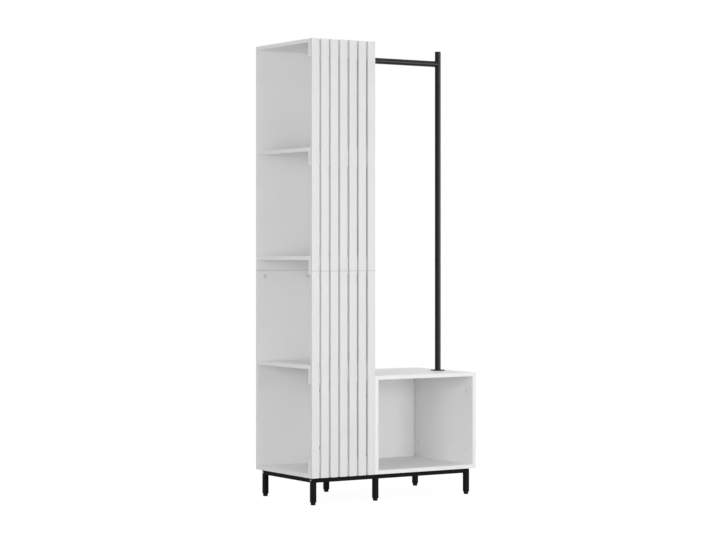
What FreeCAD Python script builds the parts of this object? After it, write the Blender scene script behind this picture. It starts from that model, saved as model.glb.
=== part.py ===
import FreeCAD, Part
import math
import os
from collections import defaultdict

# Hall tree, in millimetres: an open column of shelves behind a slatted front, a bench beside it,
# a clothes rail on a post between them, and a steel base on six levelling feet.
# The origin is on the floor under the middle of the object, +X runs to the right, the front faces
# -Y and +Z is up.

# Main sizes of the two cabinets
column_width = 300.0
bench_width = 500.0
overall_depth = 450.0
base_height = 110.0         # floor to the underside of both cabinets
bench_height = 400.0        # underside to seat
compartment_height = 419.0  # clear height between two boards of the column

# Boards, cross rails and slats
board = 16.0
edge_radius = 0.8
slat_thickness = 12.0
slat_count = 7
slat_gap = 10.0
cross_rail_height = 56.0
joint_overlap = 13.0        # height of the middle cross rail that the lower slats cover

# Post and hanging rail
tube_diameter = 25.0
tube_wall = 1.5
post_inset = 55.0           # post axis to the bench's right side
post_from_back = 250.0      # post axis to the back
post_drop = 2.0             # top of the column to the top of the post
post_lower_length = 703.0   # bench top to the joint of the two post tubes
spigot_length = 120.0
rail_drop = 54.0            # top of the post to the rail's axis
cope_gap = 0.1              # between the rail's coped end and the post, where they are welded
flange_diameter = 60.0
flange_thickness = 4.0
flange_chamfer = 0.8
flange_screw_circle = 44.0
cap_head = 2.0
cap_chamfer = 1.2
cap_plug = 15.0

# Steel base
base_tube = 20.0
base_tube_radius = 1.5
leg_inset_side = 26.0
leg_inset_front = 34.0
middle_leg_offset = 22.0    # bench's left side to the axis of the middle legs
end_plate = 6.0             # tapped plate that closes each end of the front and back rails
frame_bolt_diameter = 5.0
frame_bolt_length = 30.0
frame_head_diameter = 8.5
frame_head_thickness = 2.7
frame_socket = 3.0
frame_socket_depth = 1.6

# Levelling feet
foot_height = 11.0
foot_diameter = 20.0
foot_toe_diameter = 17.0
foot_seat_gap = 0.3
stud_diameter = 8.0
stud_length = 28.0
insert_length = 20.0

# Cam fittings and dowels
cam_diameter = 15.0
cam_floor = 3.5             # board left behind a cam
cam_distance = 24.0         # cam centre to the joint
cam_inset = 70.0            # cam to the front or back edge of its board
cam_bolt_diameter = 6.4
cam_bolt_neck = 4.0
cam_bolt_head = 4.5
cam_bolt_neck_length = 4.0
cam_slot_width = 1.5
cam_slot_length = 8.0
cam_slot_depth = 2.5
thread_diameter = 5.0
thread_cover = 5.0          # board left behind a cam bolt's thread
dowel_diameter = 8.0
dowel_length = 30.0
dowel_chamfer = 1.0
dowel_cover = 6.0           # board left behind a dowel in a face
dowel_room = 0.5            # hole beyond each end of a dowel
dowel_from_cam = 40.0
back_dowel_inset = 100.0
back_cam_first = 34.0       # left edge of the back panel to its first cam
back_cam_pitch = 206.0

# Screws, joining bolts and hole caps
screw_diameter = 3.5
screw_head_diameter = 7.0
screw_head_depth = 2.2
screw_tip = 3.0
screw_drive_width = 1.1
screw_drive_length = 4.0
screw_drive_depth = 1.4
screw_cover = 3.0           # material left in front of a screw's tip
back_screw_bite = 24.0      # length of a back screw in the board behind the panel
back_screw_inset = 60.0
base_screw_offset = 80.0    # leg axis to the nearest screw of the base
joining_inset_front = 45.0
joining_inset_height = 64.0
joining_head_diameter = 15.0
joining_head_thickness = 2.0
joining_bolt_diameter = 6.0
joining_sleeve_diameter = 8.0
joining_sleeve_gap = 4.0    # end of the bolt or sleeve to the head of the other
joining_socket = 4.0
joining_socket_depth = 1.5
bolt_head_chamfer = 0.6
cap_button_diameter = 15.0
cap_button_thickness = 1.2
cap_stem_length = 9.0

# Clearance on the radius of everything that sits in a hole
fit = 0.05

vector = FreeCAD.Vector
origin = vector(0, 0, 0)
X = vector(1, 0, 0)
Y = vector(0, 1, 0)
Z = vector(0, 0, 1)

# Planes of the cabinets
left = -(column_width + bench_width) / 2
column_right = left + column_width
right = column_right + bench_width
front = -overall_depth / 2
back = overall_depth / 2
carcass_front = front + slat_thickness
back_face = back - board
column_inner = column_right - board
bench_inner_left = column_right + board
bench_inner_right = right - board
bench_top = base_height + bench_height
bench_ceiling = bench_top - board
bench_floor = base_height + board

# Undersides of the column's five level boards, from the bottom up
level_names = ("column_bottom", "shelf_lower", "shelf_middle", "shelf_upper", "column_top")
levels = [base_height + i * (board + compartment_height) for i in range(len(level_names))]
column_top = levels[-1] + board
joint = levels[2] - cross_rail_height + joint_overlap

# Steel
tube_radius = tube_diameter / 2
post_x = right - post_inset
post_y = back - post_from_back
post_joint = bench_top + post_lower_length
post_top = column_top - post_drop
rail_z = post_top - rail_drop
rail_floor = base_height - base_tube
leg_columns = {
    "left": left + leg_inset_side,
    "middle": column_right + middle_leg_offset,
    "right": right - leg_inset_side,
}
leg_rows = {"front": front + leg_inset_front, "back": back - leg_inset_front}

solids = {}                 # node name to its solid
groups = defaultdict(list)  # fastener node name to its separate solids
holes = defaultdict(list)   # node name to what is drilled out of it


def plain_box(x_range, y_range, z_range):
    """Box between the given pairs of coordinates."""
    sizes = [b - a for a, b in (x_range, y_range, z_range)]
    return Part.makeBox(*sizes, vector(x_range[0], y_range[0], z_range[0]))


def add_board(name, x_range, y_range, z_range):
    """Board or slat with its edges eased."""
    shape = plain_box(x_range, y_range, z_range)
    solids[name] = shape.makeFillet(edge_radius, shape.Edges)


def turned(profile, centre, axis):
    """Solid of revolution from (radius, distance along the axis) pairs."""
    radial = Z if axis.isEqual(X, 1e-9) else X
    points = [centre + radial * r + axis * d for r, d in profile]
    wire = Part.makePolygon(points + points[:1])
    return Part.Face(wire).revolve(centre, axis, 360)


def placed(shape, point, into, along=None):
    """Copy of a fastener with its own +Z turned to into, and its +X to along where that matters."""
    if along is None:
        rotation = FreeCAD.Rotation(Z, into)
    else:
        rotation = FreeCAD.Rotation(along, into.cross(along), into, "ZXY")
    copy = shape.copy()
    copy.Placement = FreeCAD.Placement(point, rotation)
    return copy


def cross_slot(width, length, depth):
    """Cross-shaped recess for a driver, from its face down."""
    bar = plain_box((-length / 2, length / 2), (-width / 2, width / 2), (0, depth))
    return bar.fuse(placed(bar, origin, Z, Y))


def hex_socket(across, depth):
    """Six-sided recess for a key, from its face down."""
    radius = across / math.sqrt(3)
    turns = [math.radians(60 * i) for i in range(7)]
    points = [vector(radius * math.cos(a), radius * math.sin(a), 0) for a in turns]
    return Part.Face(Part.makePolygon(points)).extrude(Z * depth)


def screw(length, grow=0.0):
    """Countersunk wood screw with its head flush at the origin, or the hole for it."""
    head = screw_head_diameter / 2 + grow
    shank = screw_diameter / 2 + grow
    return turned(
        [(0, 0), (head, 0), (shank, screw_head_depth), (shank, length - screw_tip), (0, length + grow)],
        origin, Z)


def add_screw(head, into, length, nodes):
    """Screw that is driven in at head, through the listed nodes."""
    drive = cross_slot(screw_drive_width, screw_drive_length, screw_drive_depth)
    groups["wood_screws"].append(placed(screw(length).cut(drive), head, into))
    for node in nodes:
        holes[node].append(placed(screw(length, fit), head, into))


def socket_bolt(diameter, length, head_diameter, head_thickness, socket):
    """Bolt with its head's underside at the origin; socket is what the key goes into."""
    shank = diameter / 2
    head = head_diameter / 2
    top = -head_thickness
    bolt = turned(
        [(0, top), (head - bolt_head_chamfer, top), (head, top + bolt_head_chamfer), (head, 0),
         (shank, 0), (shank, length), (0, length)], origin, Z)
    return bolt.cut(placed(socket, Z * top, Z))


def add_dowel(point, into, depth, node, other):
    """Wooden dowel across a joint: depth into one node, the rest of its length into the other."""
    radius = dowel_diameter / 2
    tip = radius - dowel_chamfer
    dowel = turned(
        [(0, 0), (tip, 0), (radius, dowel_chamfer), (radius, dowel_length - dowel_chamfer),
         (tip, dowel_length), (0, dowel_length)], origin, Z)
    start = point - into * (dowel_length - depth)
    groups["joint_dowels"].append(placed(dowel, start, into))
    bore = Part.makeCylinder(
        radius + fit, dowel_length + 2 * dowel_room, start - into * dowel_room, into)
    holes[node].append(bore)
    holes[other].append(bore)


def add_cam(point, along, face, node, anchor):
    """Cam fitting at a joint.

    point is on the joint, on the bolt's axis, along runs from the cam to the joint and face is the
    outward normal of the board face that the cam is let into.
    """
    into = -face
    depth = board - cam_floor
    mouth = point - along * cam_distance + face * (board / 2)
    bolt_radius = cam_bolt_diameter / 2
    head = cam_bolt_head / 2
    neck_end = head + cam_bolt_neck_length
    thread_end = cam_distance + board - thread_cover
    bolt = turned(
        [(0, -head), (bolt_radius, -head), (bolt_radius, head), (cam_bolt_neck / 2, head),
         (cam_bolt_neck / 2, neck_end), (bolt_radius, neck_end), (bolt_radius, cam_distance),
         (thread_diameter / 2, cam_distance), (thread_diameter / 2, thread_end), (0, thread_end)],
        origin, Z)
    centre = point - along * cam_distance
    bolt_bore = Part.makeCylinder(
        bolt_radius + fit, cam_distance + head + fit, centre - along * (head + fit), along)
    thread_bore = Part.makeCylinder(
        thread_diameter / 2 + fit, thread_end - cam_distance + fit, point, along)
    cam = Part.makeCylinder(cam_diameter / 2, depth, mouth, into)
    slot = cross_slot(cam_slot_width, cam_slot_length, cam_slot_depth)
    cam = cam.cut([bolt_bore, placed(slot, mouth, into, along)])
    pocket = Part.makeCylinder(cam_diameter / 2 + fit, depth + fit, mouth, into)
    groups["cam_fittings"] += [cam, placed(bolt, centre, along)]
    holes[node] += [pocket, bolt_bore]
    holes[anchor].append(thread_bore)


def shared(first, second):
    """Middle of the stretch that two ranges have in common."""
    return (max(first[0], second[0]) + min(first[1], second[1])) / 2


def build_column():
    """Level boards, back, side, cross rails and slats of the column."""
    inside_x = (left, column_inner)
    inside_y = (carcass_front, back_face)
    rail_y = (carcass_front, carcass_front + board)
    for name, z in zip(level_names, levels):
        add_board(name, inside_x, inside_y, (z, z + board))
    for half, z_range in column_halves().items():
        add_board(f"column_back_{half}", inside_x, (back_face, back), z_range)
        add_board(f"column_side_{half}", (column_inner, column_right), (carcass_front, back), z_range)
    for name, z_range in cross_rails().items():
        add_board(f"cross_rail_{name}", inside_x, rail_y, z_range)
    for number, x_range in enumerate(slats(), start=1):
        for half, z_range in column_halves().items():
            add_board(f"slat_{half}_{number}", x_range, (front, carcass_front), z_range)


def column_halves():
    """Heights of the lower and upper pieces of everything that runs up the column."""
    return {"lower": (base_height, joint), "upper": (joint, column_top)}


def cross_rails():
    """Heights of the cross rails: one on the bottom board, the others under a board."""
    floor = levels[0] + board
    rails = {"bottom": (floor, floor + cross_rail_height)}
    for name, z in zip(("lower", "middle", "upper", "top"), levels[1:]):
        rails[name] = (z - cross_rail_height, z)
    return rails


def slats():
    """Left and right edge of each slat."""
    width = (column_width - (slat_count - 1) * slat_gap) / slat_count
    starts = [left + i * (width + slat_gap) for i in range(slat_count)]
    return [(x, x + width) for x in starts]


def half_at(z):
    """Which piece of the column's back, side or slats is at a height."""
    return "lower" if z < joint else "upper"


def fasten_column():
    """Cams, dowels and screws of the column."""
    face_depth = board - dowel_cover
    back_mid = back - board / 2
    cam_rows = {carcass_front + cam_inset: 1, back_face - cam_inset: -1}
    for name, z in zip(level_names, levels):
        mid = z + board / 2
        side = f"column_side_{half_at(mid)}"
        panel = f"column_back_{half_at(mid)}"
        for y, inward in cam_rows.items():
            add_cam(vector(column_inner, y, mid), X, -Z, name, side)
            add_dowel(vector(column_inner, y + inward * dowel_from_cam, mid), X, face_depth, side, name)
        for x in (left + back_screw_inset, column_inner - back_screw_inset):
            add_screw(vector(x, back, mid), -Y, board + back_screw_bite, (panel, name))
    for y, inward in cam_rows.items():
        side_mid = column_inner + board / 2
        add_cam(vector(side_mid, y, joint), Z, -X, "column_side_lower", "column_side_upper")
        add_dowel(vector(side_mid, y + inward * dowel_from_cam, joint), Z, dowel_length / 2,
                  "column_side_upper", "column_side_lower")
    for x in (left + back_cam_first, left + back_cam_first + back_cam_pitch):
        add_cam(vector(x, back_mid, joint), Z, -Y, "column_back_lower", "column_back_upper")
    add_dowel(vector(left + back_cam_first + back_cam_pitch / 2, back_mid, joint), Z, dowel_length / 2,
              "column_back_upper", "column_back_lower")
    for half, (low, high) in column_halves().items():
        for z in (low + back_dowel_inset, high - back_dowel_inset):
            add_dowel(vector(column_inner, back_mid, z), X, face_depth,
                      f"column_side_{half}", f"column_back_{half}")
    fasten_slats(face_depth)


def fasten_slats(face_depth):
    """Dowels that hold the cross rails and screws that hold the slats on them."""
    rail_mid = carcass_front + board / 2
    rail_back = carcass_front + board
    screw_length = board + slat_thickness - screw_cover
    spans = slats()
    pitch = spans[1][0] - spans[0][0]
    for name, z_range in cross_rails().items():
        rail = f"cross_rail_{name}"
        carrier = {"bottom": "column_bottom", "top": "column_top"}.get(name, f"shelf_{name}")
        seat, up = (z_range[0], -Z) if name == "bottom" else (z_range[1], Z)
        for gap in (1, slat_count - 2):
            x = left + gap * pitch - slat_gap / 2
            add_dowel(vector(x, rail_mid, seat), up, face_depth, carrier, rail)
        end = vector(column_inner, rail_mid, z_range[1] - cross_rail_height / 4)
        add_dowel(end, X, face_depth, f"column_side_{half_at(end.z)}", rail)
        for number, x_range in enumerate(spans, start=1):
            x = shared(x_range, (left, column_inner))
            for half, slat_range in column_halves().items():
                if min(slat_range[1], z_range[1]) > max(slat_range[0], z_range[0]):
                    head = vector(x, rail_back, shared(slat_range, z_range))
                    add_screw(head, -Y, screw_length, (rail, f"slat_{half}_{number}"))


def build_bench():
    """Boards of the bench cabinet."""
    inside = (bench_inner_left, bench_inner_right)
    full_y = (front, back)
    add_board("bench_left", (column_right, bench_inner_left), full_y, (base_height, bench_top))
    add_board("bench_right", (bench_inner_right, right), full_y, (base_height, bench_top))
    add_board("bench_top", inside, full_y, (bench_ceiling, bench_top))
    add_board("bench_bottom", inside, (front, back_face), (base_height, bench_floor))
    add_board("bench_back", inside, (back_face, back), (base_height, bench_ceiling))


def fasten_bench():
    """Cams, dowels and screws of the bench."""
    face_depth = board - dowel_cover
    back_mid = back - board / 2
    ends = {"bench_left": (bench_inner_left, -X), "bench_right": (bench_inner_right, X)}
    for name, z in (("bench_bottom", base_height), ("bench_top", bench_ceiling)):
        mid = z + board / 2
        for side, (x, outward) in ends.items():
            for y, inward in ((front + cam_inset, 1), (back_face - cam_inset, -1)):
                add_cam(vector(x, y, mid), outward, -Z, name, side)
                add_dowel(vector(x, y + inward * dowel_from_cam, mid), outward, face_depth, side, name)
    for side, (x, outward) in ends.items():
        for z in (bench_floor + back_dowel_inset, bench_ceiling - back_dowel_inset):
            add_dowel(vector(x, back_mid, z), outward, face_depth, side, "bench_back")
    for x in (bench_inner_left + back_screw_inset, bench_inner_right - back_screw_inset):
        add_dowel(vector(x, back_mid, bench_ceiling), Z, face_depth, "bench_top", "bench_back")
        add_screw(vector(x, back, base_height + board / 2), -Y, board + back_screw_bite,
                  ("bench_back", "bench_bottom"))


def join_cabinets():
    """Joining bolts from bench to column, and caps on the same holes of the bench's other side."""
    head = joining_head_diameter / 2
    bolt = joining_bolt_diameter / 2
    sleeve = joining_sleeve_diameter / 2
    through = 2 * board
    length = through - joining_sleeve_gap
    socket = hex_socket(joining_socket, joining_socket_depth)
    bolt_shape = socket_bolt(
        joining_bolt_diameter, length, joining_head_diameter, joining_head_thickness, socket)
    top = -joining_head_thickness
    sleeve_shape = turned(
        [(0, top), (head - bolt_head_chamfer, top), (head, top + bolt_head_chamfer), (head, 0),
         (sleeve, 0), (sleeve, length), (bolt + fit, length), (bolt + fit, 0), (0, 0)], origin, Z)
    sleeve_shape = sleeve_shape.cut(placed(socket, Z * top, Z))
    button = cap_button_diameter / 2
    cap_shape = turned(
        [(0, -cap_button_thickness), (button - cap_button_thickness, -cap_button_thickness),
         (button, -cap_button_thickness / 2), (button, 0), (sleeve, 0), (sleeve, cap_stem_length),
         (0, cap_stem_length)], origin, Z)
    for y in (front + joining_inset_front, back - joining_inset_front):
        for z in (bench_floor + joining_inset_height, bench_ceiling - joining_inset_height):
            inside = vector(bench_inner_left, y, z)
            groups["joining_bolts"] += [
                placed(bolt_shape, inside, -X),
                placed(sleeve_shape, vector(column_inner, y, z), X),
            ]
            bore = Part.makeCylinder(sleeve + fit, through, inside, -X)
            holes["bench_left"].append(bore)
            holes["column_side_lower"].append(bore)
            blind = vector(bench_inner_right, y, z)
            groups["hole_caps"].append(placed(cap_shape, blind, X))
            holes["bench_right"].append(
                Part.makeCylinder(sleeve + fit, cap_stem_length + dowel_room, blind, X))


def build_clothes_rail():
    """Post in two tubes, its cap, and the rail from the column to the post."""
    bore = tube_radius - tube_wall
    spigot = bore - fit
    spigot_bore = spigot - tube_wall
    flange = flange_diameter / 2
    top = post_top - cap_head
    low = flange_thickness
    rim = [(0, 0), (flange, 0), (flange, low - flange_chamfer), (flange - flange_chamfer, low)]
    tube_end = post_joint - bench_top
    spigot_low = tube_end - spigot_length / 2
    spigot_high = tube_end + spigot_length / 2
    solids["post_lower"] = turned(
        rim + [
            (tube_radius, low), (tube_radius, tube_end), (spigot, tube_end), (spigot, spigot_high),
            (spigot_bore, spigot_high), (spigot_bore, spigot_low), (bore, spigot_low), (bore, low),
            (0, low),
        ], vector(post_x, post_y, bench_top), Z)
    solids["post_upper"] = turned(
        [(bore, post_joint), (tube_radius, post_joint), (tube_radius, top), (bore, top)],
        vector(post_x, post_y, 0), Z)
    solids["post_cap"] = turned(
        [(0, -cap_plug), (bore - fit, -cap_plug), (bore - fit, 0), (tube_radius, 0),
         (tube_radius, cap_head - cap_chamfer), (tube_radius - cap_chamfer, cap_head), (0, cap_head)],
        vector(post_x, post_y, top), Z)
    reach = post_x - column_right
    rail = turned(
        rim + [(tube_radius, low), (tube_radius, reach), (bore, reach), (bore, low), (0, low)],
        vector(column_right, post_y, rail_z), X)
    cope_start = vector(post_x, post_y, rail_z - tube_diameter)
    cope = Part.makeCylinder(tube_radius + cope_gap, 2 * tube_diameter, cope_start, Z)
    solids["hanging_rail"] = rail.cut(cope)
    length = flange_thickness + board - screw_cover
    circle = flange_screw_circle / 2
    for turn in (45, 135, 225, 315):
        u = circle * math.cos(math.radians(turn))
        v = circle * math.sin(math.radians(turn))
        add_screw(vector(post_x + u, post_y + v, bench_top + flange_thickness), -Z, length,
                  ("post_lower", "bench_top"))
        add_screw(vector(column_right + flange_thickness, post_y + u, rail_z + v), -X, length,
                  ("hanging_rail", "column_side_upper"))


def around(middle):
    """Range of a base tube about its axis."""
    return (middle - base_tube / 2, middle + base_tube / 2)


def tube_space(outer_range):
    """Range of the space in a base tube."""
    return (outer_range[0] + tube_wall, outer_range[1] - tube_wall)


def square_tube(ranges, along):
    """Tube of the base between three pairs of coordinates, open at both ends."""
    outer = plain_box(*ranges)
    runs = [e for e in outer.Edges if abs((e.valueAt(1) - e.valueAt(0)).normalize().dot(along)) > 0.9]
    hollow = [r if axis.isEqual(along, 1e-9) else tube_space(r) for r, axis in zip(ranges, (X, Y, Z))]
    return outer.makeFillet(base_tube_radius, runs).cut(plain_box(*hollow))


def build_base():
    """Square tube frame on six legs, with its inserts and levelling feet."""
    half = base_tube / 2
    rail_z_range = (rail_floor, base_height)
    y_front, y_back = leg_rows.values()
    for side, x in leg_columns.items():
        ranges = (around(x), (y_front + half, y_back - half), rail_z_range)
        solids[f"base_rail_{side}"] = square_tube(ranges, Y)
    for row, y in leg_rows.items():
        for side, x in leg_columns.items():
            top = rail_floor if side == "middle" else base_height
            solids[f"leg_{row}_{side}"] = square_tube((around(x), around(y), (foot_height, top)), Z)
            build_foot(f"foot_{row}_{side}", vector(x, y, 0))
            for offset in screw_offsets(side):
                above = "column_bottom" if x + offset < column_right else "bench_bottom"
                add_screw(vector(x + offset, y, rail_floor), Z, base_tube + board - screw_cover,
                          (f"base_rail_{row}", above))
        build_long_rail(row, y, rail_z_range)


def build_long_rail(row, y, rail_z_range):
    """Front or back rail with a tapped plate in each end, and the bolts through the outer legs."""
    half = base_tube / 2
    start = leg_columns["left"] + half
    end = leg_columns["right"] - half
    rail = square_tube(((start, end), around(y), rail_z_range), X)
    bolt = socket_bolt(frame_bolt_diameter, frame_bolt_length, frame_head_diameter,
                       frame_head_thickness, hex_socket(frame_socket, frame_socket_depth))
    middle = (rail_floor + base_height) / 2
    for side, joint_x, inward in (("left", start, X), ("right", end, -X)):
        plate_x = sorted((joint_x, joint_x + inward.x * end_plate))
        rail = rail.fuse(plain_box(plate_x, tube_space(around(y)), tube_space(rail_z_range)))
        seat = vector(joint_x - inward.x * base_tube, y, middle)
        groups["joining_bolts"].append(placed(bolt, seat, inward))
        bore = Part.makeCylinder(frame_bolt_diameter / 2 + fit, frame_bolt_length, seat, inward)
        holes[f"leg_{row}_{side}"].append(bore)
        holes[f"base_rail_{row}"].append(bore)
    solids[f"base_rail_{row}"] = rail.removeSplitter()


def screw_offsets(side):
    """Where the base is screwed to the boards above, left or right of a leg."""
    return {"left": (base_screw_offset,), "right": (-base_screw_offset,)}.get(
        side, (-base_screw_offset, base_screw_offset))


def build_foot(name, point):
    """Levelling foot with its stud, and the insert that the stud screws into."""
    seat = foot_height - foot_seat_gap
    stud = stud_diameter / 2
    foot = foot_diameter / 2
    toe = foot_toe_diameter / 2
    solids[name] = turned(
        [(0, 0), (toe, 0), (foot, foot - toe), (foot, seat), (stud, seat), (stud, seat + stud_length),
         (0, seat + stud_length)], point, Z)
    side = base_tube - 2 * (tube_wall + fit)
    corner = vector(point.x - side / 2, point.y - side / 2, foot_height)
    bore = Part.makeCylinder(stud + fit, insert_length, vector(point.x, point.y, foot_height), Z)
    groups["leg_inserts"].append(Part.makeBox(side, side, insert_length, corner).cut(bore))


def main():
    """Build every piece, drill the holes for the fasteners and write one file for each node."""
    build_column()
    build_bench()
    build_clothes_rail()
    build_base()
    fasten_column()
    fasten_bench()
    join_cabinets()
    os.makedirs("parts", exist_ok=True)
    for name, cutters in holes.items():
        solids[name] = solids[name].cut(cutters)
    for name, shape in solids.items():
        if len(shape.Solids) != 1 or not shape.isValid():
            print("check", name, len(shape.Solids), shape.isValid())
        shape.Solids[0].exportStep(f"parts/{name}.step")
    for name, members in groups.items():
        Part.makeCompound([member.Solids[0] for member in members]).exportStep(f"parts/{name}.step")
    print(len(solids) + len(groups), "nodes,", sum(len(m) for m in groups.values()), "fasteners")


main()
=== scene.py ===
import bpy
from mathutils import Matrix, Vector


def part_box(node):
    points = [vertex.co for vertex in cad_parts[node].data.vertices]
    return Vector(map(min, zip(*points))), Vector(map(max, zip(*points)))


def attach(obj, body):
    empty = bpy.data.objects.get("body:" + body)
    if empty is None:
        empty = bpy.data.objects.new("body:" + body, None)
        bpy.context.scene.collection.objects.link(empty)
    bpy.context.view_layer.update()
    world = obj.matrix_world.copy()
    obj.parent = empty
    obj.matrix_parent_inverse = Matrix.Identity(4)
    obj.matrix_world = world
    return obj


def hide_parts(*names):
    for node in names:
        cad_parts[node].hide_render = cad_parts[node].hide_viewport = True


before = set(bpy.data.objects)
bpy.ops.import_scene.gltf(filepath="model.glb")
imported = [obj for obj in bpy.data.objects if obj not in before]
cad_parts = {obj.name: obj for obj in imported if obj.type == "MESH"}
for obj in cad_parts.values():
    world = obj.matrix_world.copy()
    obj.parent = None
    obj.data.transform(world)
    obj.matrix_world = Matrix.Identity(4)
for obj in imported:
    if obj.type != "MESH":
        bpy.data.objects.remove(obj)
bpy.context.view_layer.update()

import logging
import math
from dataclasses import dataclass, field
from enum import Enum
from typing import Any, Iterable, Sequence

import bmesh
import bpy
from mathutils import Vector

log = logging.getLogger("hall_tree")

MM = 0.001
MERGE = 0.002 * MM
ROOT_BODY = "cabinet"
LEFT = Vector((-1.0, 0.0, 0.0))
FRONT = Vector((0.0, -1.0, 0.0))
UP = Vector((0.0, 0.0, 1.0))

ROUNDING_STEPS = 3
SMOOTH_BELOW_DEG = 30.0

# Noise stays mostly between these two values, so they are the ends of a colour or gloss range.
NOISE_LOW, NOISE_HIGH = 0.3, 0.7
CLOUD_DETAIL, CLOUD_ROUGHNESS = 4.0, 0.55
RELIEF_DETAIL, RELIEF_ROUGHNESS = 2.0, 0.5

# Colour sockets of a Mix node, which go by number because its other types have the same names.
MIX_DARK, MIX_LIGHT, MIX_RESULT = 6, 7, 2

Point = Vector
Profile = Sequence[tuple[float, float]]


class Half(Enum):
    """Lengths of everything that runs up the column."""

    LOWER = "lower"
    UPPER = "upper"


class Row(Enum):
    """Rows of legs."""

    FRONT = "front"
    BACK = "back"


class Side(Enum):
    """Places of the legs in a row."""

    LEFT = "left"
    MIDDLE = "middle"
    RIGHT = "right"


class BoardPart(Enum):
    """Surfaces of a board, in the order of its material slots."""

    FACE = 0
    GLUE = 1
    BAND = 2
    CORE = 3
    # Ends in a joint: their grey is partly lacquer and partly painted shade of the joint.
    CUT = 4


class LampUse(Enum):
    """What a lamp is for."""

    LIGHT = "lights surfaces, and doesn't show in reflections"
    CARD = "shows in reflections, and doesn't light surfaces"


def linear(hex_colour: str) -> tuple[float, float, float, float]:
    """Turn an sRGB hex colour to linear.

    Args:
        hex_colour: Colour such as "#e8e8e6".

    Returns:
        Linear red, green, blue and an alpha of 1.
    """
    # The numbers are those of the sRGB curve.
    parts = [int(hex_colour[i:i + 2], 16) / 255 for i in (1, 3, 5)]
    parts = [c / 12.92 if c <= 0.04045 else ((c + 0.055) / 1.055) ** 2.4 for c in parts]
    return (parts[0], parts[1], parts[2], 1.0)


def empty_tree(owner: bpy.types.ID) -> bpy.types.NodeTree:
    """Give the node tree of a material or a world, with nothing in it.

    Args:
        owner: Material or world.

    Returns:
        Its empty tree.
    """
    owner.use_nodes = True
    owner.node_tree.nodes.clear()
    return owner.node_tree


def add_node(tree: bpy.types.NodeTree, kind: str, inputs: dict[Any, Any] | None = None,
             **settings: Any) -> bpy.types.Node:
    """Add a node with its settings and links.

    Args:
        tree: Node tree that gets the node.
        kind: Blender's name of the node.
        inputs: Socket name or number to a value, or to the output socket that feeds it.
        **settings: Properties of the node.

    Returns:
        The new node.
    """
    node = tree.nodes.new(kind)
    for name, value in settings.items():
        setattr(node, name, value)
    for socket, value in (inputs or {}).items():
        if isinstance(value, bpy.types.NodeSocket):
            tree.links.new(value, node.inputs[socket])
        else:
            node.inputs[socket].default_value = value
    return node


@dataclass(frozen=True)
class Finish:
    """A surface: its colour range, its gloss and the fine relief that its making leaves."""

    name: str
    light: str
    dark: str
    cloud_mm: float
    relief_mm: float
    relief_depth_mm: float
    rough_low: float
    rough_high: float
    metallic: float = 0.0
    specular: float = 0.5
    stretch: tuple[float, float, float] = (1.0, 1.0, 1.0)

    def material(self) -> bpy.types.Material:
        """Give the material, made on its first use."""
        return bpy.data.materials.get(self.name) or self.build()

    def build(self) -> bpy.types.Material:
        """Make the material.

        Returns:
            A material with its colour, roughness and relief from noise of real size.
        """
        material = bpy.data.materials.new(self.name)
        tree = empty_tree(material)
        place = add_node(tree, "ShaderNodeMapping", {
            "Vector": add_node(tree, "ShaderNodeTexCoord").outputs["Object"],
            "Scale": self.stretch})
        cloud = add_node(tree, "ShaderNodeTexNoise", {
            "Vector": place.outputs["Vector"], "Scale": 1 / (self.cloud_mm * MM),
            "Detail": CLOUD_DETAIL, "Roughness": CLOUD_ROUGHNESS})
        relief = add_node(tree, "ShaderNodeTexNoise", {
            "Vector": place.outputs["Vector"], "Scale": 1 / (self.relief_mm * MM),
            "Detail": RELIEF_DETAIL, "Roughness": RELIEF_ROUGHNESS})
        spread = add_node(tree, "ShaderNodeMapRange", {
            "Value": cloud.outputs["Fac"], "From Min": NOISE_LOW, "From Max": NOISE_HIGH})
        colour = add_node(tree, "ShaderNodeMix", {
            "Factor": spread.outputs["Result"], MIX_DARK: linear(self.dark),
            MIX_LIGHT: linear(self.light)}, data_type="RGBA")
        gloss = add_node(tree, "ShaderNodeMapRange", {
            "Value": relief.outputs["Fac"], "From Min": NOISE_LOW, "From Max": NOISE_HIGH,
            "To Min": self.rough_low, "To Max": self.rough_high})
        bump = add_node(tree, "ShaderNodeBump", {
            "Height": relief.outputs["Fac"], "Strength": 1.0,
            "Distance": self.relief_depth_mm * MM})
        shader = add_node(tree, "ShaderNodeBsdfPrincipled", {
            "Base Color": colour.outputs[MIX_RESULT], "Roughness": gloss.outputs["Result"],
            "Normal": bump.outputs["Normal"], "Metallic": self.metallic,
            "Specular IOR Level": self.specular})
        add_node(tree, "ShaderNodeOutputMaterial", {"Surface": shader.outputs["BSDF"]})
        return material


# Particleboard faced with white melamine paper, pressed against a pearled steel plate: an even
# white with a soft sheen. The pearl is about 0.8 mm wide in truth and is drawn coarser, so that
# it shows.
MELAMINE = Finish(
    "white_melamine_board", light="#f4f4f4", dark="#f1f1f1", cloud_mm=160, relief_mm=2.5,
    relief_depth_mm=0.020, rough_low=0.40, rough_high=0.54)

# Extruded white ABS strip, glued on the board's narrow sides and scraped flush: almost the same
# white, duller than the faces and with a finer relief.
EDGE_BAND = Finish(
    "white_abs_edge_band", light="#f0f0f0", dark="#eeeeee", cloud_mm=90, relief_mm=1.6,
    relief_depth_mm=0.010, rough_low=0.52, rough_high=0.62)

# Hot-melt glue between board and band: a hairline that is a little darker than both.
GLUE_LINE = Finish(
    "hot_melt_glue_line", light="#dcdad4", dark="#d2cfc7", cloud_mm=8, relief_mm=0.8,
    relief_depth_mm=0.010, rough_low=0.55, rough_high=0.70)

# Raw particleboard in the bores: pale brown chips about 3 mm wide, pressed and drilled.
CHIPBOARD = Finish(
    "raw_particleboard", light="#cdb18a", dark="#a5855c", cloud_mm=3, relief_mm=1.2,
    relief_depth_mm=0.120, rough_low=0.75, rough_high=0.90)
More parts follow.
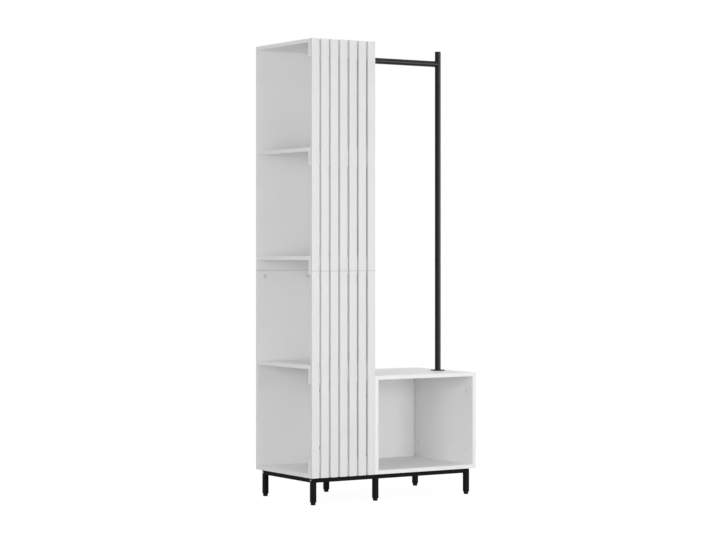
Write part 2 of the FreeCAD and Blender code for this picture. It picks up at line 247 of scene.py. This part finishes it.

# Ends that meet in a joint, sawn, eased and sealed with lacquer but not banded. Their grey is
# partly the lacquered end and partly painted shade, standing for the shade in the joint's gap, so
# that the joint shows as a fine dark line.
SEALED_END_AND_JOINT_SHADE = Finish(
    "sealed_end_with_painted_joint_shade", light="#bdbab4", dark="#b0ada6", cloud_mm=4, relief_mm=1.0,
    relief_depth_mm=0.040, rough_low=0.60, rough_high=0.75)

# Fibreboard strips wrapped in matt white foil: a slightly softer white, duller than the boards.
FOIL = Finish(
    "white_foil_slat", light="#e3e3e3", dark="#e0e0e0", cloud_mm=120, relief_mm=2.2,
    relief_depth_mm=0.014, rough_low=0.58, rough_high=0.70)

# Round steel tube with black powder coat, baked on: satin, with the orange peel of the melted
# powder.
SATIN_COAT = Finish(
    "satin_black_powder_coat", light="#181819", dark="#151516", cloud_mm=60, relief_mm=1.8,
    relief_depth_mm=0.006, rough_low=0.30, rough_high=0.38, specular=0.20)

# Square steel tube with a fine-textured black powder coat, baked on: matt, with hardly a sheen. The
# texture is finer in truth and is drawn coarser, so that it shows.
MATT_COAT = Finish(
    "matt_black_powder_coat", light="#161617", dark="#131314", cloud_mm=60, relief_mm=1.2,
    relief_depth_mm=0.010, rough_low=0.56, rough_high=0.68, specular=0.05)

# Black polypropylene, moulded in an eroded tool: dull and evenly grained.
MOULDED_BLACK = Finish(
    "black_moulded_polypropylene", light="#181819", dark="#141415", cloud_mm=20, relief_mm=0.7,
    relief_depth_mm=0.010, rough_low=0.50, rough_high=0.66, specular=0.10)

# Pale grey polyethylene, moulded: a waxy, dull surface.
MOULDED_GREY = Finish(
    "grey_moulded_polyethylene", light="#e4e4e3", dark="#dddddc", cloud_mm=15, relief_mm=0.8,
    relief_depth_mm=0.015, rough_low=0.45, rough_high=0.60)

# Zinc plate on steel: a grey metal, cloudy from the bath.
ZINC_PLATE = Finish(
    "zinc_plated_steel", light="#c6c7ca", dark="#b0b2b6", cloud_mm=6, relief_mm=0.5,
    relief_depth_mm=0.008, rough_low=0.34, rough_high=0.50, metallic=1.0)

# Zinc, die-cast and tumbled: paler and duller than plate, with a fine cast skin.
DIE_CAST = Finish(
    "die_cast_zinc", light="#f2f2f3", dark="#e6e6e8", cloud_mm=4, relief_mm=0.6,
    relief_depth_mm=0.020, rough_low=0.46, rough_high=0.62, metallic=1.0)

# Rolled beech rod, left raw: pale brown and dull, with short flecks along the rod.
BEECH = Finish(
    "raw_beech", light="#cfa77c", dark="#b98d61", cloud_mm=3, relief_mm=0.6,
    relief_depth_mm=0.030, rough_low=0.60, rough_high=0.78, stretch=(0.2, 0.2, 1.0))


def dress(node_names: Iterable[str], finish: Finish) -> None:
    """Give CAD nodes a material.

    Args:
        node_names: Names of the nodes.
        finish: What they are made of.
    """
    for name in node_names:
        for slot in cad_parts[name].material_slots:
            slot.material = finish.material()
        log.info("dressed %s in %s", name, finish.name)


def add_object(name: str, data: bpy.types.ID) -> bpy.types.Object:
    """Put a new object in the scene, at the origin.

    Args:
        name: Name of the object.
        data: What it shows.

    Returns:
        The object.
    """
    holder = bpy.data.objects.new(name, data)
    bpy.context.scene.collection.objects.link(holder)
    return holder


def place_piece(name: str, data: bpy.types.ID, finishes: Sequence[Finish],
                body: str = ROOT_BODY, stands_for: Sequence[str] = ()) -> None:
    """Put a finished mesh or curve in the scene.

    Args:
        name: Name of the piece.
        data: Its mesh or curve, already in place.
        finishes: Its finishes, one for each material slot.
        body: Body that it moves with.
        stands_for: CAD nodes that it replaces.
    """
    for finish in finishes:
        data.materials.append(finish.material())
    piece = add_object(name, data)
    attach(piece, body)
    if stands_for:
        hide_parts(*stands_for)
    log.info("made %s on %s", name, body)


def mesh_from(bm: bmesh.types.BMesh, name: str, smooth_below_deg: float = 0.0) -> bpy.types.Mesh:
    """Turn a bmesh into a mesh and free it.

    Args:
        bm: Finished shape.
        name: Name of the mesh.
        smooth_below_deg: Edges flatter than this are shaded smooth.

    Returns:
        The mesh.
    """
    for face in bm.faces:
        face.smooth = smooth_below_deg > 0
    mesh = bpy.data.meshes.new(name)
    bm.to_mesh(mesh)
    bm.free()
    if "custom_normal" in mesh.attributes:
        mesh.attributes.remove(mesh.attributes["custom_normal"])
    if smooth_below_deg:
        mesh.set_sharp_from_angle(angle=math.radians(smooth_below_deg))
    return mesh


def chain(bm: bmesh.types.BMesh,
          points: Iterable[Point]) -> list[bmesh.types.BMVert | bmesh.types.BMEdge]:
    """Join points by edges, each to the next.

    Args:
        bm: Mesh that gets them.
        points: Places of the corners.

    Returns:
        The corners and the edges between them.
    """
    corners = [bm.verts.new(point) for point in points]
    return corners + [bm.edges.new(pair) for pair in zip(corners, corners[1:])]


def cut(bm: bmesh.types.BMesh, place: Point, outward: Vector, drop_outside: bool = False) -> None:
    """Cut all faces of a shape along a plane.

    Args:
        bm: Shape to cut.
        place: Point of the plane.
        outward: Direction across the plane.
        drop_outside: Whether what lies beyond the plane goes.
    """
    bmesh.ops.bisect_plane(bm, geom=bm.verts[:] + bm.edges[:] + bm.faces[:], dist=MERGE,
                           plane_co=place, plane_no=outward, clear_outer=drop_outside)


def turn(bm: bmesh.types.BMesh, profile_mm: Profile, origin: Point, axis: Vector,
         steps: int = 48) -> None:
    """Turn a profile all round an axis into a closed shape.

    Args:
        bm: Mesh that gets the shape.
        profile_mm: Radius and height of each corner, from the axis out and back to it.
        origin: Point of the axis where the height is 0.
        axis: Direction of the height.
        steps: Number of flats round the shape.
    """
    side = axis.orthogonal().normalized()
    outline = chain(bm, [origin + (side * radius + axis * height) * MM
                         for radius, height in profile_mm])
    bmesh.ops.spin(bm, geom=outline, cent=origin, axis=axis, angle=math.tau, steps=steps,
                   use_merge=True)
    bmesh.ops.remove_doubles(bm, verts=bm.verts[:], dist=MERGE)
    bmesh.ops.recalc_face_normals(bm, faces=bm.faces[:])


def soften(bm: bmesh.types.BMesh, offset_mm: float, sharper_than_deg: float = 35.0) -> None:
    """Round off the sharp edges of a shape.

    Args:
        bm: Shape to round off.
        offset_mm: Width of the rounding on each side of an edge.
        sharper_than_deg: Only edges that turn by more than this are rounded.
    """
    limit = math.radians(sharper_than_deg)
    sharp = [edge for edge in bm.edges if edge.calc_face_angle(0.0) > limit]
    bmesh.ops.bevel(bm, geom=sharp, offset=offset_mm * MM, segments=ROUNDING_STEPS, profile=0.5,
                    affect="EDGES", material=-1)


def dome(radius_mm: float, base_mm: float, rise_mm: float,
         points: int = 6) -> list[tuple[float, float]]:
    """Profile of a shallow dome, from its rim to its crown.

    Args:
        radius_mm: Radius of the rim.
        base_mm: Height of the rim.
        rise_mm: Height of the crown above the rim.
        points: Number of points on the way.

    Returns:
        Radius and height of each point.
    """
    shares = [1 - i / points for i in range(points + 1)]
    return [(radius_mm * share, base_mm + rise_mm * (1 - share ** 2)) for share in shares]


@dataclass
class Carcass:
    """Boards of one cabinet: melamine on a chipboard core, with a band on each narrow side."""

    band_mm: float = 1.0
    glue_mm: float = 0.25
    skin_mm: float = 0.9
    hairline_mm: float = 1.0

    def raw_ends(self, name: str) -> list[Vector]:
        """Give the directions of ends without a band, because they meet another board's end."""
        return []

    def short_ends(self, name: str) -> list[Vector]:
        """Give the directions of ends that stop short of their neighbour, so the joint shows."""
        return []

    def copy_board(self, name: str) -> bmesh.types.BMesh:
        """Copy a board and take a hairline off its short ends, with their rounded edges.

        Args:
            name: Name of the board's node.

        Returns:
            The merged copy.
        """
        bm = bmesh.new()
        bm.from_mesh(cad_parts[name].data)
        bmesh.ops.remove_doubles(bm, verts=bm.verts[:], dist=MERGE)
        for outward in self.short_ends(name):
            inner = self.reach(bm, outward) - self.skin_mm * MM
            rim = [vert for vert in bm.verts if outward.dot(vert.co) > inner]
            bmesh.ops.translate(bm, verts=rim, vec=-outward * self.hairline_mm * MM)
        return bm

    def reach(self, bm: bmesh.types.BMesh, outward: Vector) -> float:
        """Find how far a shape goes in a direction."""
        return max(outward.dot(vert.co) for vert in bm.verts)

    def build_boards(self, names: Iterable[str], face: Finish, slot: str, banded: bool) -> None:
        """Make a piece for each board.

        Args:
            names: Names of the boards' nodes.
            face: Finish of the boards' faces.
            slot: Material slot of the record that they belong to; not used.
            banded: Whether their narrow sides have a band, or the face's foil goes round them.
        """
        # The last finish greys the ends in a joint, partly with painted shade of the joint.
        finishes = (face, GLUE_LINE, EDGE_BAND, CHIPBOARD, SEALED_END_AND_JOINT_SHADE)
        for name in names:
            piece = f"{'banded' if banded else 'wrapped'}_{name}"
            bm = self.copy_board(name)
            self.mark_surfaces(bm, self.raw_ends(name), banded)
            place_piece(piece, mesh_from(bm, piece), finishes, stands_for=[name])

    def mark_surfaces(self, bm: bmesh.types.BMesh, raw: Sequence[Vector], banded: bool) -> None:
        """Cut the faces along the bands and the glue lines, and give each part its material slot.

        Args:
            bm: Merged copy of the board.
            raw: Outward directions of the ends without a band.
            banded: Whether the other narrow sides have one.
        """
        sides = [axis * sign for axis in (LEFT, FRONT, UP) for sign in (1, -1)]
        reaches = [self.reach(bm, side) for side in sides]
        thickness = [reaches[i] + reaches[i ^ 1] for i in range(len(sides))]
        narrow = [i for i in range(len(sides)) if thickness[i] > min(thickness) + MERGE]
        bands = [i for i in narrow if banded and sides[i] not in raw]
        for i in bands:
            for depth in (self.band_mm, self.band_mm + self.glue_mm):
                cut(bm, sides[i] * (reaches[i] - depth * MM), sides[i])
        for face in bm.faces:
            middle = face.calc_center_median()
            depths = [(reaches[i] - sides[i].dot(middle)) / MM for i in range(len(sides))]
            face.material_index = self.part_at(
                min(depths), min((depths[i] for i in bands), default=math.inf),
                min((depths[i] for i in narrow if sides[i] in raw), default=math.inf)).value

    def part_at(self, depth_mm: float, band_depth_mm: float, raw_depth_mm: float) -> BoardPart:
        """Find the part of a board's surface.

        Args:
            depth_mm: How far inside the board's box the place is.
            band_depth_mm: How far it is from the nearest banded side.
            raw_depth_mm: How far it is from the nearest end without a band.

        Returns:
            The part that shows there.
        """
        if depth_mm > self.skin_mm:
            return BoardPart.CORE
        # Ends in a joint take the grey finish, which is partly painted shade of the joint.
        if raw_depth_mm < self.skin_mm:
            return BoardPart.CUT
        if band_depth_mm < self.band_mm:
            return BoardPart.BAND
        if band_depth_mm < self.band_mm + self.glue_mm:
            return BoardPart.GLUE
        return BoardPart.FACE


@dataclass
class Column(Carcass):
    """Open shelf column with its slatted front."""

    levels: tuple[str, ...] = (
        "column_bottom", "shelf_lower", "shelf_middle", "shelf_upper", "column_top")
    cross_rails: tuple[str, ...] = ("bottom", "lower", "middle", "upper", "top")
    slat_count: int = 7

    def boards(self) -> list[str]:
        """Names of the melamine boards."""
        panels = [f"column_{panel}_{half.value}" for panel in ("back", "side") for half in Half]
        return list(self.levels) + panels + [f"cross_rail_{name}" for name in self.cross_rails]

    def slats(self) -> list[str]:
        """Names of the slats."""
        return [f"slat_{half.value}_{i}" for half in Half for i in range(1, self.slat_count + 1)]

    def raw_ends(self, name: str) -> list[Vector]:
        """Find the ends without a band: where the lower halves meet the upper ones.

        Args:
            name: Name of the board's node.

        Returns:
            Up for a lower half, down for an upper one, nothing for other boards.
        """
        # These ends take the grey end finish, which is partly painted shade of the joint.
        if name.startswith(("column_back", "column_side", "slat")):
            return [UP if Half.LOWER.value in name else -UP]
        return []

    def build(self) -> None:
        """Make the boards and the slats."""
        self.build_boards(self.boards(), MELAMINE, "white_board", banded=True)
        self.build_boards(self.slats(), FOIL, "white_slat", banded=False)


@dataclass
class Bench(Carcass):
    """Bench box, open at the front, with capped holes in its right panel."""

    panels: tuple[str, ...] = ("top", "bottom", "left", "right", "back")
    button_mm: float = 7.5
    button_rim_mm: float = 0.35
    button_height_mm: float = 1.2
    button_flats: int = 32
    stem_mm: float = 3.4
    rim_rounding_mm: float = 0.15

    def short_ends(self, name: str) -> list[Vector]:
        """The back stops short of both side panels."""
        return [LEFT, -LEFT] if name == "bench_back" else []

    def build(self) -> None:
        """Make the boards and the hole caps."""
        boards = [f"bench_{panel}" for panel in self.panels]
        self.build_boards(boards, MELAMINE, "white_board", banded=True)
        self.build_hole_caps()

    def build_hole_caps(self) -> None:
        """Press a domed cap into each of the four holes."""
        low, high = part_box("hole_caps")
        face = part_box("bench_right")[0].x
        stem_length = (high.x - face) / MM
        rise_mm = self.button_height_mm - self.button_rim_mm
        profile = [(0, -stem_length), (self.stem_mm, -stem_length), (self.stem_mm, 0),
                   (self.button_mm, 0)]
        profile += dome(self.button_mm, self.button_rim_mm, rise_mm)
        inset = self.button_mm * MM
        caps = bmesh.new()
        for y in (low.y + inset, high.y - inset):
            for z in (low.z + inset, high.z - inset):
                turn(caps, profile, Vector((face, y, z)), LEFT, steps=self.button_flats)
        soften(caps, self.rim_rounding_mm)
        mesh = mesh_from(caps, "domed_hole_caps", SMOOTH_BELOW_DEG)
        place_piece("domed_hole_caps", mesh, [MOULDED_GREY],
                    stands_for=["hole_caps"])


@dataclass(frozen=True)
class WeldBead:
    """Bead that a welder leaves in a corner: a round bar, half sunk in both, with ripples."""

    radius_mm: float = 1.5
    ripple_mm: float = 1.6
    ripple_share: float = 0.16
    sides: int = 2
    finish: Finish = SATIN_COAT

    def along(self, start: Point, end: Point) -> list[Point]:
        """Give the points of a straight bead, two for each ripple."""
        count = max(2, round((end - start).length / (self.ripple_mm * MM) * 2))
        return [start.lerp(end, i / count) for i in range(count + 1)]

    def turns(self, radius_mm: float) -> list[float]:
        """Give the angles of a bead round a tube, two for each ripple."""
        count = 2 * round(math.tau * radius_mm / self.ripple_mm)
        return [math.tau * i / count for i in range(count)]

    def build(self, name: str, beads: Iterable[tuple[list[Point], bool]]) -> None:
        """Make one piece of all the beads.

        Args:
            name: Name of the piece.
            beads: Points of each bead, and whether it closes on itself.
        """
        curve = bpy.data.curves.new(name, "CURVE")
        curve.dimensions = "3D"
        curve.bevel_depth = self.radius_mm * MM
        curve.bevel_resolution = self.sides
        curve.use_fill_caps = True
        for points, closed in beads:
            spline = curve.splines.new("POLY")
            spline.points.add(len(points) - 1)
            spline.use_cyclic_u = closed
            for i, point in enumerate(points):
                spline.points[i].co = (*point, 1.0)
                spline.points[i].radius = 1.0 - self.ripple_share * (i % 2)
        place_piece(name, curve, [self.finish])


@dataclass
class ClothesRail:
    """Round post on the bench, and the hanging rail between it and the column."""

    flange_mm: float = 4.0
    cap_clearance_mm: float = 1.6
    cap_rim_mm: float = 0.8
    cap_rounding_mm: float = 0.3
    bead: WeldBead = WeldBead()
    axis: Point = field(init=False)
    radius_mm: float = field(init=False)

    def build(self) -> None:
        """Dress the tubes, close the post and weld them."""
        dress(["post_lower", "post_upper", "hanging_rail"], SATIN_COAT)
        low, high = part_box("post_upper")
        self.axis = (low + high) / 2
        self.radius_mm = (high.x - low.x) / 2 / MM
        self.build_cap(high.z)
        self.build_welds()

    def build_cap(self, tube_end: float) -> None:
        """Close the post with a domed plug.

        Args:
            tube_end: Height of the tube's upper end.
        """
        low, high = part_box("post_cap")
        plug_mm = self.radius_mm - self.cap_clearance_mm
        depth_mm = (tube_end - low.z) / MM
        rise_mm = (high.z - tube_end) / MM - self.cap_rim_mm
        profile = [(0, -depth_mm), (plug_mm, -depth_mm), (plug_mm, 0), (self.radius_mm, 0)]
        profile += dome(self.radius_mm, self.cap_rim_mm, rise_mm)
        cap = bmesh.new()
        turn(cap, profile, Vector((self.axis.x, self.axis.y, tube_end)), UP)
        soften(cap, self.cap_rounding_mm)
        mesh = mesh_from(cap, "domed_post_cap", SMOOTH_BELOW_DEG)
        place_piece("domed_post_cap", mesh, [MOULDED_BLACK],
                    stands_for=["post_cap"])

    def build_welds(self) -> None:
        """Weld both flanges to their tubes, and the rail to the post."""
        radius = self.radius_mm * MM
        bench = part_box("post_lower")[0].z + self.flange_mm * MM
        side_low, side_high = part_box("hanging_rail")
        column = side_low.x + self.flange_mm * MM
        rail = (side_low.z + side_high.z) / 2
        turns = self.bead.turns(self.radius_mm)
        x, y = self.axis.x, self.axis.y
        foot = [Vector((x + radius * math.cos(t), y + radius * math.sin(t), bench)) for t in turns]
        wall = [Vector((column, y + radius * math.cos(t), rail + radius * math.sin(t)))
                for t in turns]
        saddle = [Vector((x - radius * abs(math.sin(t)), y + radius * math.cos(t),
                          rail + radius * math.sin(t))) for t in turns]
        self.bead.build("clothes_rail_welds", [(foot, True), (wall, True), (saddle, True)])


@dataclass
class SteelBase:
    """Welded square tubes that the column and the bench stand on."""

    rails: tuple[str, ...] = ("front", "back", "left", "middle", "right")
    bead_inset_mm: float = 1.8
    bead: WeldBead = WeldBead(radius_mm=1.3, finish=MATT_COAT)

    def build(self) -> None:
        """Dress the tubes and their inserts, and weld the frame."""
        legs = [f"leg_{row.value}_{side.value}" for row in Row for side in Side]
        dress([f"base_rail_{name}" for name in self.rails] + legs, MATT_COAT)
        dress(["leg_inserts"], MOULDED_BLACK)
        self.bead.build("base_welds", [(points, False) for points in self.bead_points()])

    def bead_points(self) -> list[list[Point]]:
        """Find where the beads go, in the inner corners of the frame.

        Returns:
            Points of each bead.
        """
        inset = self.bead_inset_mm * MM
        spans = []
        for side in Side:
            low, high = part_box(f"base_rail_{side.value}")
            for y in (low.y, high.y):
                if side is Side.MIDDLE:
                    spans += [((x, y, low.z + inset), (x, y, high.z - inset))
                              for x in (low.x, high.x)]
                else:
                    spans.append(((low.x + inset, y, low.z), (high.x - inset, y, low.z)))
        for row in Row:
            low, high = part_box(f"leg_{row.value}_{Side.MIDDLE.value}")
            spans += [((x, low.y + inset, high.z), (x, high.y - inset, high.z))
                      for x in (low.x, high.x)]
        return [self.bead.along(Vector(start), Vector(end)) for start, end in spans]


@dataclass
class LevellingFeet:
    """Six feet: a ribbed moulded foot on a threaded steel stud, which screws into the leg."""

    radius_mm: float = 10.0
    toe_mm: float = 8.5
    hollow_mm: float = 6.5
    hollow_depth_mm: float = 0.6
    rounding_mm: float = 0.4
    flats: int = 48
    rib_gap_mm: float = 0.2
    rib_depth_mm: float = 0.5
    seat_gap_mm: float = 0.3
    stud_mm: float = 4.0
    root_mm: float = 3.4
    pitch_mm: float = 1.25
    spare_turns: int = 2
    thread_steps: int = 24
    thread_smooth_deg: float = 40.0
    side_share: float = 0.98
    upright_below: float = 0.1

    def build(self) -> None:
        """Make the foot and the stud of each leg."""
        for row in Row:
            for side in Side:
                node = f"foot_{row.value}_{side.value}"
                low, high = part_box(node)
                middle = (low + high) / 2
                leg_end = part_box(f"leg_{row.value}_{side.value}")[0].z
                seat = leg_end - self.seat_gap_mm * MM
                self.build_foot(node, Vector((middle.x, middle.y, low.z)), seat)
                self.build_stud(node, Vector((middle.x, middle.y, seat)), high.z)

    def build_foot(self, node: str, floor: Point, seat: float) -> None:
        """Mould one foot with a hollow underside and ribs for the fingers.

        Args:
            node: CAD node that it replaces.
            floor: Point of its axis on the floor.
            seat: Height of its upper face.
        """
        seat_mm = (seat - floor.z) / MM
        profile = [(0, self.hollow_depth_mm), (self.hollow_mm, self.hollow_depth_mm),
                   (self.hollow_mm, 0), (self.toe_mm, 0),
                   (self.radius_mm, self.radius_mm - self.toe_mm),
                   (self.radius_mm, seat_mm), (0, seat_mm)]
        bm = bmesh.new()
        turn(bm, profile, floor, UP, steps=self.flats)
        soften(bm, self.rounding_mm)
        flats = [face for face in bm.faces if self.is_side(face, floor)]
        flats.sort(key=lambda face: self.bearing(face, floor))
        bmesh.ops.inset_individual(bm, faces=flats[::2], thickness=self.rib_gap_mm * MM,
                                   depth=-self.rib_depth_mm * MM, use_even_offset=True)
        mesh = mesh_from(bm, f"ribbed_{node}", SMOOTH_BELOW_DEG)
        place_piece(f"ribbed_{node}", mesh, [MOULDED_BLACK], body=node,
                    stands_for=[node])

    def is_side(self, face: bmesh.types.BMFace, floor: Point) -> bool:
        """Tell whether a face is one of the tall flats round the foot.

        Args:
            face: Face of the foot.
            floor: Point of the foot's axis on the floor.

        Returns:
            True for an upright face far from the axis.
        """
        outward = face.calc_center_median() - floor
        far_out = math.hypot(outward.x, outward.y) > self.side_share * self.radius_mm * MM
        return far_out and abs(face.normal.z) < self.upright_below

    def bearing(self, face: bmesh.types.BMFace, floor: Point) -> float:
        """Find the angle of a face round the foot's axis."""
        outward = face.calc_center_median() - floor
        return math.atan2(outward.y, outward.x)

    def build_stud(self, node: str, seat: Point, top: float) -> None:
        """Cut the thread of one stud: a zigzag that climbs by one pitch in a full turn.

        Args:
            node: Body that the stud moves with.
            seat: Point of its axis on the foot.
            top: Height of its upper end.
        """
        bm = bmesh.new()
        pitch = self.pitch_mm * MM
        count = 2 * (round((top - seat.z) / pitch) + 2 * self.spare_turns)
        zigzag = chain(bm, [seat + Vector(((self.stud_mm if i % 2 else self.root_mm) * MM, 0.0,
                                           (i / 2 - self.spare_turns) * pitch))
                            for i in range(count)])
        bmesh.ops.spin(bm, geom=zigzag, cent=seat, axis=UP, angle=math.tau,
                       steps=self.thread_steps, dvec=UP * (pitch / self.thread_steps))
        bmesh.ops.remove_doubles(bm, verts=bm.verts[:], dist=MERGE)
        for height, beyond in ((seat.z, -1.0), (top, 1.0)):
            cut(bm, Vector((seat.x, seat.y, height)), UP * beyond, drop_outside=True)
        bmesh.ops.holes_fill(bm, edges=[edge for edge in bm.edges if edge.is_boundary])
        bmesh.ops.recalc_face_normals(bm, faces=bm.faces[:])
        mesh = mesh_from(bm, f"stud_of_{node}", self.thread_smooth_deg)
        place_piece(f"stud_of_{node}", mesh, [ZINC_PLATE], body=node)


@dataclass
class Fasteners:
    """Knock-down fittings, most of them inside the boards."""

    cams: str = "cam_fittings"
    plated: tuple[str, ...] = ("wood_screws", "joining_bolts")
    dowels: str = "joint_dowels"

    def build(self) -> None:
        """Dress the fittings."""
        dress([self.cams], DIE_CAST)
        dress(self.plated, ZINC_PLATE)
        dress([self.dowels], BEECH)


@dataclass(frozen=True)
class Lamp:
    """Soft lamp that faces the object."""

    name: str
    place: tuple[float, float, float]
    watts: float
    width: float
    height: float
    use: LampUse = LampUse.LIGHT

    def build(self, target: Point) -> None:
        """Hang the lamp.

        Args:
            target: Point that it faces.
        """
        lamp = bpy.data.lights.new(self.name, "AREA")
        lamp.shape = "RECTANGLE"
        lamp.size = self.width
        lamp.size_y = self.height
        lamp.energy = self.watts
        holder = add_object(self.name, lamp)
        holder.visible_glossy = self.use is LampUse.CARD
        holder.visible_diffuse = self.use is LampUse.LIGHT
        holder.location = self.place
        holder.rotation_euler = (target - Vector(self.place)).to_track_quat("-Z", "Y").to_euler()


@dataclass
class Studio:
    """Floor, light and camera.

    Attributes:
        floor_tone: Share of the light that the floor throws back on the object.
        floor_shadow: Share of light that the camera sees thrown back, which keeps the shadow.
        floor_light: Brightness of a white sheet on the floor, where 1 is white in the picture.
        room_light: Strength of the room's light on surfaces, where 1 is its own white.
    """

    floor_size: float = 60.0
    floor_tone: float = 0.50
    floor_shadow: float = 0.10
    floor_light: float = 0.4
    room_light: float = 0.44
    target: tuple[float, float, float] = (0.0, 0.0, 0.9)
    lamps: tuple[Lamp, ...] = (
        Lamp("camera_side_lamp", place=(-5.0, -8.8, 1.0), watts=42, width=4.0, height=4.0),
        Lamp("left_lamp", place=(-4.2, -2.9, 1.2), watts=76, width=2.0, height=2.0),
        Lamp("front_lamp", place=(0.3, -4.5, 0.6), watts=78, width=2.0, height=2.0),
        Lamp("top_lamp", place=(0.0, 0.0, 5.8), watts=77, width=3.0, height=3.0),
        Lamp("right_card", place=(2.6, -4.2, 1.4), watts=185, width=4.0, height=2.4,
             use=LampUse.CARD),
    )
    sensor_mm: float = 36.0
    lens_mm: float = 107.73
    camera_place: tuple[float, float, float] = (-4.813, -7.527, 1.0115)
    camera_tilt_deg: float = 90.0
    camera_turn_deg: float = -32.378
    camera_shift_y: float = -0.0246
    camera_sees_to: float = 200.0

    def build(self) -> None:
        """Set up everything that isn't the object."""
        self.build_floor()
        self.build_world()
        for lamp in self.lamps:
            lamp.build(Vector(self.target))
        self.build_camera()

    def add_seen(self, tree: bpy.types.NodeTree) -> bpy.types.NodeSocket:
        """Add the nodes that tell whether the camera sees a surface, directly or in a reflection.

        Args:
            tree: Node tree that gets them.

        Returns:
            A socket that is 1 where it does.
        """
        path = add_node(tree, "ShaderNodeLightPath")
        mirrored = add_node(tree, "ShaderNodeMath", {
            0: path.outputs["Is Glossy Ray"], 1: path.outputs["Is Transmission Ray"]},
            operation="MAXIMUM")
        seen = add_node(tree, "ShaderNodeMath", {
            0: path.outputs["Is Camera Ray"], 1: mirrored.outputs[0]}, operation="MAXIMUM")
        return seen.outputs[0]

    def build_floor(self) -> None:
        """Lay a floor that is white to the camera and keeps a faint shadow.

        The camera sees a glow with a little diffuse white on it, which together make about 1. The
        object gets less light back from the floor than that white suggests.
        """
        bm = bmesh.new()
        bmesh.ops.create_grid(bm, x_segments=1, y_segments=1, size=self.floor_size / 2)
        mesh = mesh_from(bm, "studio_floor")
        floor = add_object("studio_floor", mesh)
        material = bpy.data.materials.new("white_paper_floor")
        tree = empty_tree(material)
        plain = add_node(tree, "ShaderNodeBsdfDiffuse", {"Color": (*[self.floor_tone] * 3, 1.0)})
        shade = add_node(tree, "ShaderNodeBsdfDiffuse", {"Color": (*[self.floor_shadow] * 3, 1.0)})
        glow = add_node(tree, "ShaderNodeEmission", {
            "Strength": 1.0 - self.floor_light * self.floor_shadow})
        white = add_node(tree, "ShaderNodeAddShader", {
            0: shade.outputs["BSDF"], 1: glow.outputs["Emission"]})
        surface = add_node(tree, "ShaderNodeMixShader", {
            "Fac": self.add_seen(tree), 1: plain.outputs["BSDF"], 2: white.outputs["Shader"]})
        add_node(tree, "ShaderNodeOutputMaterial", {"Surface": surface.outputs["Shader"]})
        mesh.materials.append(material)

    def build_world(self) -> None:
        """Surround the object with a white room, which gives less light than its white suggests."""
        world = bpy.data.worlds.new("white_room")
        bpy.context.scene.world = world
        tree = empty_tree(world)
        strength = add_node(tree, "ShaderNodeMapRange", {
            "Value": self.add_seen(tree), "To Min": self.room_light, "To Max": 1.0})
        room = add_node(tree, "ShaderNodeBackground", {
            "Color": (1.0, 1.0, 1.0, 1.0), "Strength": strength.outputs["Result"]})
        add_node(tree, "ShaderNodeOutputWorld", {"Surface": room.outputs["Background"]})

    def build_camera(self) -> None:
        """Put the camera where the photograph was taken from."""
        camera = bpy.data.cameras.new("camera")
        camera.sensor_fit = "HORIZONTAL"
        camera.sensor_width = self.sensor_mm
        camera.lens = self.lens_mm
        camera.shift_y = self.camera_shift_y
        camera.clip_end = self.camera_sees_to
        holder = add_object("camera", camera)
        holder.location = self.camera_place
        holder.rotation_euler = (math.radians(self.camera_tilt_deg), 0.0,
                                 math.radians(self.camera_turn_deg))
        bpy.context.scene.camera = holder
        bpy.context.scene.view_settings.view_transform = "Standard"


def main() -> None:
    """Build the hall tree piece by piece, then the studio around it."""
    logging.basicConfig(level=logging.INFO, format="%(message)s")
    Column().build()
    Bench().build()
    ClothesRail().build()
    SteelBase().build()
    LevellingFeet().build()
    Fasteners().build()
    Studio().build()


if __name__ == "__main__":
    main()
